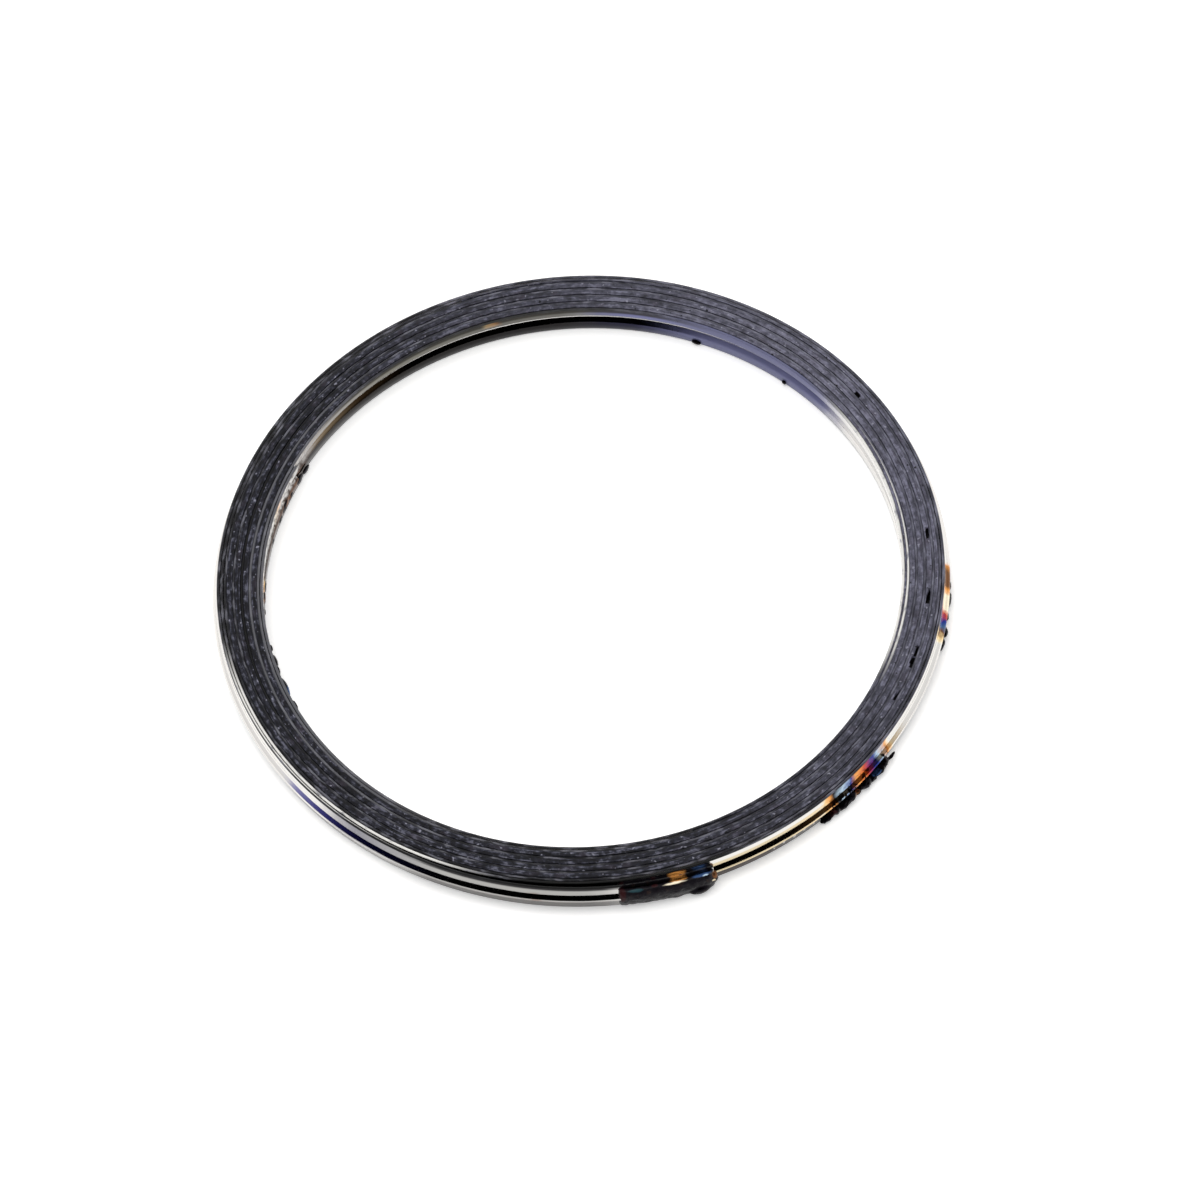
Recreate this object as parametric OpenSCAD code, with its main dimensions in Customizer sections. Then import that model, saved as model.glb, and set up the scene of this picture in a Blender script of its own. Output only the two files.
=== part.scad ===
// Spiral-wound exhaust gasket: a V-ridged steel hoop strip wound edge-on with a graphite
// filler tape between its turns, with bare plies at both ends held by rows of spot welds.
// The ring lies flat on its lower sealing face, with its axis on Z.

/* [Hoop strip] */
// Diameter of the bore, inside the strip's first ply
bore_d = 45; // [30:0.5:70]
// Thickness of the strip
strip_t = 0.2; // [0.15:0.01:0.3]
// Height of the strip, edge to edge
strip_h = 2.36; // [2.1:0.02:4]
// How far the ridge stands out of the strip
ridge_depth = 0.35; // [0.1:0.05:0.6]
// Height of the flat shoulder above and below the ridge
shoulder_h = 0.68; // [0.64:0.02:0.9]

/* [Filler] */
// Thickness of the filler tape between two turns of the strip
filler_t = 0.36; // [0.25:0.01:0.6]
// How far the filler stands above the strip's edges on each face
filler_proud = 0.07; // [0.03:0.01:0.2]
// Clearance between the filler and the strip on each side
filler_clear = 0.01; // [0.005:0.005:0.03]

/* [Winding] */
// Turns that hold filler
filled_turns = 4; // [2:1:8]
// Gap between bare plies
ply_gap = 0.05; // [0.03:0.01:0.08]
// Bare half turns at the inner end
inner_bare_halves = 2; // [2:2:4]
// Bare half turns at the outer end
outer_bare_halves = 4; // [4:2:6]
// Angle at which the strip's outer end stops
tail_angle = 286; // [0:1:359]
// Angle of the first arc, from the strip's inner end to the first half turn
lead_span = 136; // [90:1:175]
// How far the outer end lifts off the ply under it, over its last quarter turn
tail_lift = 0.3; // [0.1:0.05:0.5]

/* [Spot welds] */
// Angle that the weld under the outer end takes up
tail_weld_span = 14; // [6:1:20]
// Angle from the outer end to the first row of nuggets on the ply past it
row_start = 30; // [20:1:60]
// Angle between neighbouring rows outside
row_step = 33; // [20:1:40]
// Rows of nuggets on the ply past the outer end
outer_rows = 2; // [1:1:3]
// Angle from the inner end to the first nuggets on the bore wall
inner_row_start = 5; // [3:1:10]
// Angle between neighbouring nugget rows on the bore wall
inner_row_step = 20; // [15:1:25]
// Rows of nuggets on the bore wall
inner_rows = 3; // [1:1:3]
// Radius of a nugget on the outer wall
outer_nugget_r = 0.3; // [0.28:0.01:0.32]
// How far a nugget stands out of the outer wall
outer_nugget_proud = 0.25; // [0.2:0.01:0.26]
// Radius of a nugget on the bore wall
inner_nugget_r = 0.22; // [0.2:0.01:0.24]
// How far a nugget stands out of the bore wall
inner_nugget_proud = 0.08; // [0.06:0.01:0.1]
// Nuggets in an outer row
outer_nuggets = 5; // [3:1:7]
// Nuggets in an inner row
inner_nuggets = 2; // [1:1:3]
// Distance between neighbouring nuggets in a row
nugget_pitch = 1.1; // [0.8:0.1:1.4]

/* [Hidden] */
$fn = 180;

ridge_steps = 6;
half_turn = 180;
quarter_turn = 90;
// Weld metal runs this far into the plies that it joins
weld_bite = strip_t / 4;

strip_z = filler_proud;
ring_h = strip_h + 2 * filler_proud;
ridge_h = strip_h - 2 * shoulder_h;
nugget_z = strip_z + shoulder_h / 2;

// Growth of the winding's radius at each half turn
bare_step = (strip_t + ply_gap) / 2;
filled_step = (strip_t + filler_t + 2 * filler_clear) / 2;
filled_halves = 2 * filled_turns;
arc_steps = concat(
    [for (i = [1 : inner_bare_halves]) bare_step],
    [for (i = [1 : filled_halves]) filled_step],
    [for (i = [1 : outer_bare_halves]) bare_step]
);
last_arc = len(arc_steps);

function total(list, count) = count == 0 ? 0 : list[count - 1] + total(list, count - 1);
// Half turns meet on the X axis of the winding's own frame, where the outer end stops at +X.
// Each one takes its centre on that axis, so that it leaves the one before it smoothly.
function is_tail_side(arc) = (last_arc - arc) % 2 == 0;
function arc_start(arc) = is_tail_side(arc) ? half_turn : 0;
function arc_radius(arc) = bore_d / 2 + total(arc_steps, arc);
function arc_move(arc) = (is_tail_side(arc) ? 1 : -1) * arc_steps[arc - 1];
function arc_travel(arc) = arc == 0 ? 0 : arc_travel(arc - 1) + arc_move(arc);
function arc_centre(arc) = [arc_travel(arc) - arc_travel(1) / 2, 0, 0];

// The last quarter turn flares out on a wider arc
tail_radius = arc_radius(last_arc) + tail_lift;
tail_centre = arc_centre(last_arc) + [0, tail_lift, 0];

// Distance of the strip's inner face from its shoulder line, at a share of the ridge's height
function ridge_reach(share) = ridge_depth * (1 - cos(360 * share)) / 2;
function ridge_line(r) = [
    for (i = [0 : ridge_steps])
        [r + ridge_reach(i / ridge_steps), strip_z + shoulder_h + ridge_h * i / ridge_steps]
];
function reversed(list) = [for (i = [len(list) - 1 : -1 : 0]) list[i]];

// Section of the strip: two like ridge lines, one strip thickness apart
module strip_section(r) {
    inner_line = concat([[r, strip_z]], ridge_line(r), [[r, strip_z + strip_h]]);
    outer_line = [for (p = inner_line) p + [strip_t, 0]];
    polygon(concat(inner_line, reversed(outer_line)));
}

// Section from the axis out to a ridge line
module core_section(r, bottom, top) {
    polygon(concat([[0, bottom], [r, bottom]], ridge_line(r), [[r, top], [0, top]]));
}

module strip_arc(r, centre, from, span) {
    translate(centre)
        rotate([0, 0, from])
            rotate_extrude(angle = span)
                strip_section(r);
}

module core_arc(r, centre, from, span, bottom, top) {
    translate(centre)
        rotate([0, 0, from])
            rotate_extrude(angle = span)
                core_section(r, bottom, top);
}

module core_disc(r, centre, bottom, top) {
    translate(centre)
        rotate_extrude()
            core_section(r, bottom, top);
}

module winding() {
    strip_arc(arc_radius(0), arc_centre(0), 0, -lead_span);
    for (arc = [1 : last_arc - 1])
        strip_arc(arc_radius(arc), arc_centre(arc), arc_start(arc), half_turn);
    strip_arc(arc_radius(last_arc), arc_centre(last_arc), half_turn, quarter_turn);
    strip_arc(tail_radius, tail_centre, half_turn + quarter_turn, quarter_turn);
}

// Weld metal between the lifted end and the ply under it
module tail_weld() {
    under = last_arc - 2;
    difference() {
        core_arc(
            tail_radius + weld_bite, tail_centre, -tail_weld_span, tail_weld_span,
            strip_z, strip_z + strip_h
        );
        core_disc(
            arc_radius(under) + strip_t - weld_bite, arc_centre(under), 0, ring_h
        );
    }
}

// A row of nuggets with their centres on a circle of radius r, about an angle on the ring.
// Each nugget reaches through its ply into the one behind it.
module nugget_row(r, centre, angle, count, nugget_r) {
    pitch_angle = nugget_pitch / r * 180 / PI;
    for (i = [0 : count - 1])
        translate(centre + [0, 0, nugget_z])
            rotate([0, 0, angle + (i - (count - 1) / 2) * pitch_angle])
                translate([r, 0, 0])
                    rotate([0, quarter_turn, 0])
                        sphere(r = nugget_r);
}

module outer_welds() {
    ply = last_arc - 1;
    seat_r = arc_radius(ply) + strip_t + outer_nugget_proud - outer_nugget_r;
    for (row = [0 : outer_rows - 1])
        nugget_row(seat_r, arc_centre(ply), row_start + row * row_step, outer_nuggets, outer_nugget_r);
}

module inner_welds() {
    seat_r = arc_radius(0) - inner_nugget_proud + inner_nugget_r;
    first_row = inner_row_start - lead_span;
    for (row = [0 : inner_rows - 1])
        nugget_row(seat_r, arc_centre(0), first_row + row * inner_row_step, inner_nuggets, inner_nugget_r);
}

module hoop_strip() {
    color([0.62, 0.6, 0.58])
        rotate([0, 0, tail_angle]) {
            winding();
            tail_weld();
            outer_welds();
            inner_welds();
        }
}

// The filler tape fills the room between a half turn and the one outside it
module filler_half(arc) {
    difference() {
        core_arc(
            arc_radius(arc + 2) - filler_clear, arc_centre(arc + 2), arc_start(arc), half_turn, 0, ring_h
        );
        core_disc(
            arc_radius(arc) + strip_t + filler_clear, arc_centre(arc), -1, ring_h + 1
        );
    }
}

module graphite_filler() {
    first_half = inner_bare_halves - 1;
    color([0.22, 0.22, 0.25])
        rotate([0, 0, tail_angle])
            for (arc = [first_half : first_half + filled_halves])
                filler_half(arc);
}

hoop_strip();
graphite_filler();
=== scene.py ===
"""Looks of a spiral-wound exhaust gasket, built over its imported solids.

A V-ridged steel strip is wound on edge with a graphite tape between its turns. The strip's bare plies
are held by spot welds, which leave burnt lumps and heat tint on the outer wall and on the bore wall.
Sizes are in millimetres, as in the solids, and are turned into metres where a mesh is made.
"""

import logging
import math
import random
from dataclasses import dataclass
from enum import Enum

import bpy
from mathutils import Matrix, Vector


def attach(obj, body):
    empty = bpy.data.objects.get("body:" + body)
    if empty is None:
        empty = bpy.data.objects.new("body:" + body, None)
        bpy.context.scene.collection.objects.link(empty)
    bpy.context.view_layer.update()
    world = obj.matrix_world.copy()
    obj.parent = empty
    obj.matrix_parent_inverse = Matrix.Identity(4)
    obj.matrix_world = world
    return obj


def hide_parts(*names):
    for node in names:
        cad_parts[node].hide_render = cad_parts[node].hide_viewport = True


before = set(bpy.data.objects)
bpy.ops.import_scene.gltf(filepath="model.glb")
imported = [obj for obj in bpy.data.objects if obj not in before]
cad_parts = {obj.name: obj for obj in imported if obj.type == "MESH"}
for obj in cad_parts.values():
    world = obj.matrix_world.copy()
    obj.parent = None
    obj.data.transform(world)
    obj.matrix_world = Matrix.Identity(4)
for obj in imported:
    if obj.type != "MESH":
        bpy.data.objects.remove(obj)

logging.basicConfig(level=logging.INFO, format="%(message)s")
LOG = logging.getLogger("gasket")

MM = 0.001
FULL_TURN, HALF_TURN, QUARTER_TURN = 360.0, 180.0, 90.0
# Points nearer than this are one point, in metres
SAME_POINT = 1e-7
Colour = tuple[float, float, float]
Stop = tuple[float, Colour]
Socket = bpy.types.NodeSocket


class Slot(Enum):
    """Material slots of the record."""

    STEEL = "steel"
    GRAPHITE = "graphite"


class Group(Enum):
    """Vertex groups that say which part of a mesh a modifier works on."""

    FACES = "sealing_faces"
    BURNT = "burnt_end"


class Wall(Enum):
    """Walls of the ring, each as the two radii that it lies between, in millimetres."""

    BORE = (21.0, 22.98)
    OUTER = (25.3, 27.0)


class Bench:
    """Modelling steps that several pieces share, done with Blender's own operators."""

    CLOUD_LAYERS = 2

    @staticmethod
    def clear() -> None:
        """Leaves edit mode and deselects every object."""
        if bpy.context.object and bpy.context.object.mode != "OBJECT":
            bpy.ops.object.mode_set(mode="OBJECT")
        bpy.ops.object.select_all(action="DESELECT")

    @staticmethod
    def pick(obj: bpy.types.Object) -> None:
        """Selects one object alone and makes it the active one.

        Args:
            obj: The object.
        """
        Bench.clear()
        bpy.context.view_layer.objects.active = obj
        obj.select_set(True)

    @staticmethod
    def start_point(name: str, point: Vector) -> bpy.types.Object:
        """Adds a mesh of one selected vertex and stays in edit mode.

        Args:
            name: Name of the new object.
            point: Place of the vertex, in metres.

        Returns:
            The new object, at the origin.
        """
        Bench.clear()
        bpy.ops.mesh.primitive_plane_add(size=MM)
        obj = bpy.context.object
        obj.name = name
        obj.data.name = name
        bpy.ops.object.mode_set(mode="EDIT")
        bpy.ops.mesh.select_mode(type="VERT")
        bpy.ops.mesh.merge(type="CENTER")
        bpy.ops.transform.translate(value=point)
        return obj

    @staticmethod
    def draw_line(points: list[Vector]) -> None:
        """Extrudes the selected vertex along a line of points, the first of which it stands on."""
        for start, end in zip(points, points[1:]):
            bpy.ops.mesh.extrude_region_move(TRANSFORM_OT_translate={"value": end - start})

    @staticmethod
    def join(pieces: list[bpy.types.Object], name: str) -> bpy.types.Object:
        """Joins objects into the first one.

        Args:
            pieces: The objects.
            name: Name of the whole.

        Returns:
            The whole, active and in object mode.
        """
        Bench.clear()
        for piece in pieces:
            piece.select_set(True)
        whole = pieces[0]
        bpy.context.view_layer.objects.active = whole
        bpy.ops.object.join()
        whole.name = name
        whole.data.name = name
        return whole

    @staticmethod
    def close(obj: bpy.types.Object) -> None:
        """Merges the seams of a mesh, fills its open ends and points its faces outwards.

        Args:
            obj: The mesh object.
        """
        Bench.pick(obj)
        bpy.ops.object.mode_set(mode="EDIT")
        bpy.ops.mesh.select_mode(type="VERT")
        bpy.ops.mesh.select_all(action="SELECT")
        bpy.ops.mesh.remove_doubles(threshold=SAME_POINT)
        bpy.ops.mesh.select_all(action="DESELECT")
        bpy.ops.mesh.select_non_manifold(extend=False)
        bpy.ops.mesh.fill_holes(sides=0)
        bpy.ops.mesh.select_all(action="SELECT")
        bpy.ops.mesh.normals_make_consistent(inside=False)
        bpy.ops.object.mode_set(mode="OBJECT")

    @staticmethod
    def smooth(obj: bpy.types.Object, crease: float) -> None:
        """Shades a mesh smooth, with sharp edges over an angle in degrees."""
        Bench.pick(obj)
        bpy.ops.object.shade_smooth_by_angle(angle=math.radians(crease))

    @staticmethod
    def move_points(obj: bpy.types.Object, chosen: set[int], value: Vector) -> None:
        """Moves some vertices of a mesh.

        Args:
            obj: The mesh object, active and in object mode.
            chosen: Indices of the vertices.
            value: The move, in metres.
        """
        bpy.ops.object.mode_set(mode="EDIT")
        bpy.ops.mesh.select_mode(type="VERT")
        bpy.ops.mesh.select_all(action="DESELECT")
        bpy.ops.object.mode_set(mode="OBJECT")
        for index in chosen:
            obj.data.vertices[index].select = True
        bpy.ops.object.mode_set(mode="EDIT")
        bpy.ops.transform.translate(value=value)
        bpy.ops.object.mode_set(mode="OBJECT")

    @staticmethod
    def group_points(obj: bpy.types.Object, group: Group, chosen: list[int]) -> None:
        """Puts vertices of a mesh in a vertex group."""
        obj.vertex_groups.new(name=group.value).add(chosen, 1.0, "REPLACE")

    @staticmethod
    def displace(
        obj: bpy.types.Object, group: Group, direction: str, grain: float, strength: float
    ) -> None:
        """Roughens part of a mesh with a cloud texture and applies it.

        Args:
            obj: The mesh object, in object mode.
            group: Vertex group that moves.
            direction: Displace modifier's direction, such as Z or NORMAL.
            grain: Size of the clouds, in millimetres.
            strength: Reach of the displacement, in millimetres.
        """
        clouds = bpy.data.textures.new(f"{obj.name}_{group.value}", "CLOUDS")
        clouds.noise_scale = grain * MM
        clouds.noise_depth = Bench.CLOUD_LAYERS
        Bench.pick(obj)
        bpy.ops.object.modifier_add(type="DISPLACE")
        modifier = obj.modifiers[-1]
        modifier.texture = clouds
        modifier.texture_coords = "LOCAL"
        modifier.direction = direction
        modifier.strength = strength * MM
        modifier.mid_level = 0.5
        modifier.vertex_group = group.value
        bpy.ops.object.modifier_apply(modifier=modifier.name)
        bpy.data.textures.remove(clouds)


@dataclass(frozen=True)
class Arc:
    """One arc of the winding: a face of the strip or tape, turned about a point near the ring's axis."""

    centre: Vector
    radius: float
    start: float
    span: float

    def place(self, offset: float, height: float) -> Vector:
        """Gives a point at the arc's start.

        Args:
            offset: Distance outwards from the arc's radius, in millimetres.
            height: Height over the lower face, in millimetres.

        Returns:
            The point in the ring's frame, in metres.
        """
        angle = math.radians(self.start)
        across = Vector((math.cos(angle), math.sin(angle), 0.0)) * (self.radius + offset)
        return (self.centre + across + Vector((0.0, 0.0, height))) * MM

    def sweep(self, name: str, line: list[tuple[float, float]], step: float) -> bpy.types.Object:
        """Draws a line of points at the arc's start and spins it along the arc.

        Args:
            name: Name of the new object.
            line: Offsets and heights of the points. The line closes where it ends on its first point.
            step: Degrees between segments.

        Returns:
            The swept mesh object, in object mode.
        """
        points = [self.place(offset, height) for offset, height in line]
        obj = Bench.start_point(name, points[0])
        Bench.draw_line(points)
        bpy.ops.mesh.select_all(action="SELECT")
        bpy.ops.mesh.remove_doubles(threshold=SAME_POINT)
        bpy.ops.mesh.spin(
            steps=max(1, round(self.span / step)),
            angle=-math.radians(self.span),
            center=self.centre * MM,
            axis=(0.0, 0.0, 1.0),
        )
        bpy.ops.object.mode_set(mode="OBJECT")
        return obj


@dataclass(frozen=True)
class Winding:
    """Sizes of the spiral, whose half turns have two centres by turns."""

    bore_radius: float = 22.5
    strip_thickness: float = 0.2
    filler_thickness: float = 0.36
    filler_clearance: float = 0.01
    ply_gap: float = 0.05
    inner_bare_halves: int = 2
    filled_halves: int = 8
    outer_bare_halves: int = 4
    lead_span: float = 136.0
    tail_angle: float = 286.0
    tail_lift: float = 0.3

    @property
    def steps(self) -> list[float]:
        """Growth of the winding.

        Returns:
            How much the radius grows at each half turn.
        """
        bare = (self.strip_thickness + self.ply_gap) / 2
        filled = (self.strip_thickness + self.filler_thickness + 2 * self.filler_clearance) / 2
        return (
            [bare] * self.inner_bare_halves + [filled] * self.filled_halves + [bare] * self.outer_bare_halves
        )

    @property
    def last(self) -> int:
        """Number of the last half turn."""
        return len(self.steps)

    def tail_side(self, arc: int) -> bool:
        """Says whether a half turn lies on the side that ends at the strip's outer end."""
        return (self.last - arc) % 2 == 0

    def radius(self, arc: int) -> float:
        """Radius of the strip's inner face in a half turn."""
        return self.bore_radius + sum(self.steps[:arc])

    def shift(self, arc: int) -> float:
        """Place of a half turn's centre along the line of the seams."""
        signed = [step if self.tail_side(i + 1) else -step for i, step in enumerate(self.steps)]
        return sum(signed[:arc]) - signed[0] / 2

    def turned(self, along: float, across: float = 0.0) -> Vector:
        """Turns a point of the seam line's frame into the ring's frame."""
        return Matrix.Rotation(math.radians(self.tail_angle), 3, "Z") @ Vector((along, across, 0.0))

    def half(self, arc: int, offset: float = 0.0) -> Arc:
        """One half turn, or the shorter first arc.

        Args:
            arc: Number of the half turn.
            offset: Distance outwards from the strip's inner face.

        Returns:
            The arc.
        """
        centre = self.turned(self.shift(arc))
        radius = self.radius(arc) + offset
        if arc == 0:
            return Arc(centre, radius, self.tail_angle - self.lead_span, self.lead_span)
        start = self.tail_angle + (HALF_TURN if self.tail_side(arc) else 0.0)
        return Arc(centre, radius, start, HALF_TURN)

    def strip_arcs(self) -> list[Arc]:
        """Lays out the whole strip.

        Returns:
            Its arcs, from its inner end to its lifted outer end.
        """
        last = self.half(self.last)
        lifted = self.turned(self.shift(self.last), self.tail_lift)
        return [self.half(arc) for arc in range(self.last)] + [
            Arc(last.centre, last.radius, last.start, QUARTER_TURN),
            Arc(lifted, last.radius + self.tail_lift, last.start + QUARTER_TURN, QUARTER_TURN),
        ]


@dataclass(frozen=True)
class Ridge:
    """Section of the strip: flat shoulders above and below a rounded V."""

    bottom: float = 0.07
    height: float = 2.36
    depth: float = 0.35
    shoulder: float = 0.68
    edge: float = 0.05
    edge_steps: int = 6
    steps: int = 12

    def line(self) -> list[tuple[float, float]]:
        """Draws one face of the strip.

        Returns:
            Offsets and heights of its points, from the lower edge to the upper one.
        """
        ridge = self.height - 2 * self.shoulder
        points = [(0.0, self.bottom + self.edge)]
        for i in range(self.steps + 1):
            share = i / self.steps
            reach = self.depth * (1 - math.cos(2 * math.pi * share)) / 2
            points.append((reach, self.bottom + self.shoulder + ridge * share))
        return points + [(0.0, self.bottom + self.height - self.edge)]

    def outline(self, thickness: float) -> list[tuple[float, float]]:
        """Closed outline of the strip, with its slit edges eased.

        Args:
            thickness: Thickness of the strip.

        Returns:
            Offsets from the inner face and heights, once round.
        """
        inner = self.line()
        outer = [(x + thickness, z) for x, z in reversed(inner)]
        middle = thickness / 2
        turns = [math.pi * i / self.edge_steps for i in range(1, self.edge_steps)]
        top = self.bottom + self.height - self.edge
        upper = [(middle - middle * math.cos(a), top + self.edge * math.sin(a)) for a in turns]
        bottom = self.bottom + self.edge
        lower = [(middle + middle * math.cos(a), bottom - self.edge * math.sin(a)) for a in turns]
        return inner + upper + outer + lower + inner[:1]


class Nodes:
    """Builds the node tree of one material in short steps."""

    def __init__(self, name: str) -> None:
        """Starts a material with a Principled shader.

        Args:
            name: Name of the material.
        """
        self.material = bpy.data.materials.new(name)
        self.material.use_nodes = True
        self.tree = self.material.node_tree
        self.shader = self.tree.nodes["Principled BSDF"]

    def put(self, socket: Socket, value: object) -> None:
        """Links a socket or sets a constant on an input.

        Args:
            socket: The input.
            value: An output of another node, or a number, vector or colour.
        """
        if isinstance(value, Socket):
            self.tree.links.new(value, socket)
        elif isinstance(value, tuple) and len(value) == 3 and socket.type == "RGBA":
            socket.default_value = (*value, 1.0)
        else:
            socket.default_value = value

    def feed(self, name: str, value: object) -> None:
        """Links or sets an input of the shader."""
        self.put(self.shader.inputs[name], value)

    def math(self, kind: str, a: object, b: object = 0.0, clamp: bool = False) -> Socket:
        """Adds a Math node.

        Args:
            kind: Its operation.
            a: First number.
            b: Second number, where the operation has one.
            clamp: Whether its value stays between 0 and 1.

        Returns:
            Its value.
        """
        node = self.tree.nodes.new("ShaderNodeMath")
        node.operation = kind
        node.use_clamp = clamp
        self.put(node.inputs[0], a)
        self.put(node.inputs[1], b)
        return node.outputs[0]

    def times(self, *factors: object) -> Socket:
        """Multiplies numbers.

        Args:
            factors: Two or more numbers.

        Returns:
            Their product.
        """
        product = factors[0]
        for factor in factors[1:]:
            product = self.math("MULTIPLY", product, factor)
        return product

    def squares(self, a: object, b: object) -> Socket:
        """Returns the sum of the squares of two numbers."""
        return self.math("ADD", self.times(a, a), self.times(b, b))

    def smooth(self, value: object, low: float, high: float) -> Socket:
        """Makes a smooth rise from 0 to 1, or a fall where low is above high.

        Args:
            value: The number that it follows.
            low: Where it is 0.
            high: Where it is 1.

        Returns:
            The rise at each point.
        """
        node = self.tree.nodes.new("ShaderNodeMapRange")
        node.interpolation_type = "SMOOTHSTEP"
        rising = low < high
        self.put(node.inputs["Value"], value)
        node.inputs["From Min"].default_value = low if rising else high
        node.inputs["From Max"].default_value = high if rising else low
        node.inputs["To Min"].default_value = 0.0 if rising else 1.0
        node.inputs["To Max"].default_value = 1.0 if rising else 0.0
        return node.outputs["Result"]

    def window(self, value: object, low: float, high: float, soft: float) -> Socket:
        """Returns 1 between low and high, with soft sides."""
        rise = self.smooth(value, low - soft, low + soft)
        return self.times(rise, self.smooth(value, high + soft, high - soft))

    def mix(self, share: object, a: object, b: object) -> Socket:
        """Mixes two colours.

        Args:
            share: Share of the second colour.
            a: First colour.
            b: Second colour.

        Returns:
            The mixed colour.
        """
        node = self.tree.nodes.new("ShaderNodeMix")
        node.data_type = "RGBA"
        self.put(node.inputs[0], share)
        self.put(node.inputs[6], a)
        self.put(node.inputs[7], b)
        return node.outputs[2]

    def blend(self, share: object, a: object, b: object) -> Socket:
        """Blends two numbers.

        Args:
            share: Share of the second number.
            a: First number.
            b: Second number.

        Returns:
            The number between them.
        """
        node = self.tree.nodes.new("ShaderNodeMix")
        node.data_type = "FLOAT"
        self.put(node.inputs[0], share)
        self.put(node.inputs[2], a)
        self.put(node.inputs[3], b)
        return node.outputs[0]

    def ramp(self, share: object, stops: tuple[Stop, ...]) -> Socket:
        """Takes a colour from a row of stops.

        Args:
            share: Place along the row, from 0 to 1.
            stops: Places and colours of the stops.

        Returns:
            The colour.
        """
        node = self.tree.nodes.new("ShaderNodeValToRGB")
        elements = node.color_ramp.elements
        while len(elements) < len(stops):
            elements.new(0.5)
        for element, (place, colour) in zip(elements, stops):
            element.position = place
            element.color = (*colour, 1.0)
        self.put(node.inputs[0], share)
        return node.outputs[0]

    def noise(self, vector: Socket, scale: float, detail: float, rough: float) -> Socket:
        """Adds a noise pattern.

        Args:
            vector: Place of each point in the pattern.
            scale: Scale of the pattern.
            detail: Layers of finer noise.
            rough: Weight of the finer layers.

        Returns:
            The noise, about one half.
        """
        node = self.tree.nodes.new("ShaderNodeTexNoise")
        node.noise_dimensions = "3D"
        self.put(node.inputs["Vector"], vector)
        node.inputs["Scale"].default_value = scale
        node.inputs["Detail"].default_value = detail
        node.inputs["Roughness"].default_value = rough
        return node.outputs[0]

    def bump(self, height: object, distance: float, strength: float) -> Socket:
        """Adds a fine relief.

        Args:
            height: Height of the relief at each point, from 0 to 1.
            distance: Reach of that height, in metres.
            strength: Share of the relief that shows.

        Returns:
            The normal.
        """
        node = self.tree.nodes.new("ShaderNodeBump")
        node.inputs["Strength"].default_value = strength
        node.inputs["Distance"].default_value = distance
        self.put(node.inputs["Height"], height)
        return node.outputs[0]


class RingNodes(Nodes):
    """Node tree of a material that follows the ring: angle, radius and height at each point."""

    MEAN_RADIUS = 24.0
    # Painted sheen and shade on the face: lightest at this angle, darkest on the opposite side, with the
    # reaches measured from that side
    SHEEN_ANGLE = 25.0
    SHADE_REACH = 60.0
    SHEEN_REACH = 175.0

    def __init__(self, name: str) -> None:
        """Adds the ring's coordinates to a new material.

        Args:
            name: Name of the material.
        """
        super().__init__(name)
        coordinates = self.tree.nodes.new("ShaderNodeTexCoord")
        split = self.tree.nodes.new("ShaderNodeSeparateXYZ")
        scaled = self.tree.nodes.new("ShaderNodeVectorMath")
        scaled.operation = "SCALE"
        scaled.inputs["Scale"].default_value = 1 / MM
        self.put(scaled.inputs[0], coordinates.outputs["Object"])
        self.place = scaled.outputs[0]
        self.put(split.inputs[0], self.place)
        self.x, self.y, self.height = split.outputs
        self.radius = self.math("SQRT", self.squares(self.x, self.y))
        turn = self.times(self.math("ARCTAN2", self.y, self.x), HALF_TURN / math.pi)
        self.angle = self.math("FLOORED_MODULO", self.math("ADD", turn, FULL_TURN), FULL_TURN)

    def sector(self, start: float, end: float, soft: float) -> Socket:
        """Returns 1 between two angles, with soft ends."""
        return self.window(self.angle, start, end, soft)

    def inside(self, radius: float, soft: float) -> Socket:
        """Returns 1 within a radius, with a soft rim inside it."""
        return self.smooth(self.radius, radius, radius - soft)

    def outside(self, radius: float, soft: float) -> Socket:
        """Returns 1 beyond a radius, with a soft rim outside it."""
        return self.smooth(self.radius, radius, radius + soft)

    def painted_sheen(self) -> Socket:
        """Gives the share of painted sheen: the face's right and back are painted lighter, as if lit,
        and its left and front duller, as if in shade.

        Returns:
            A rise from 0 where the painted shade is deepest to 1 where the painted sheen is strongest.
        """
        turned = self.math("SUBTRACT", self.angle, self.SHEEN_ANGLE)
        turned = self.math("FLOORED_MODULO", turned, FULL_TURN)
        away = self.math("ABSOLUTE", self.math("SUBTRACT", turned, HALF_TURN))
        return self.smooth(away, self.SHADE_REACH, self.SHEEN_REACH)

    def along(self, stretch: float, radial: float, upright: float) -> Socket:
        """Returns a vector whose patterns run round the ring, with no seam.

        Args:
            stretch: Scale along the ring, for each millimetre.
            radial: Scale across the face.
            upright: Scale up the wall.

        Returns:
            The vector's socket.
        """
        flat = self.tree.nodes.new("ShaderNodeCombineXYZ")
        reach = self.MEAN_RADIUS * stretch
        for side, socket in zip((self.x, self.y), flat.inputs):
            self.put(socket, self.times(self.math("DIVIDE", side, self.radius), reach))
        level = self.math("ADD", self.times(self.radius, radial), self.times(self.height, upright))
        self.put(flat.inputs[2], level)
        return flat.outputs[0]


def even(colour: Colour) -> tuple[Stop, ...]:
    """Gives the stops of one colour from end to end."""
    return ((0.0, colour), (1.0, colour))


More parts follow.
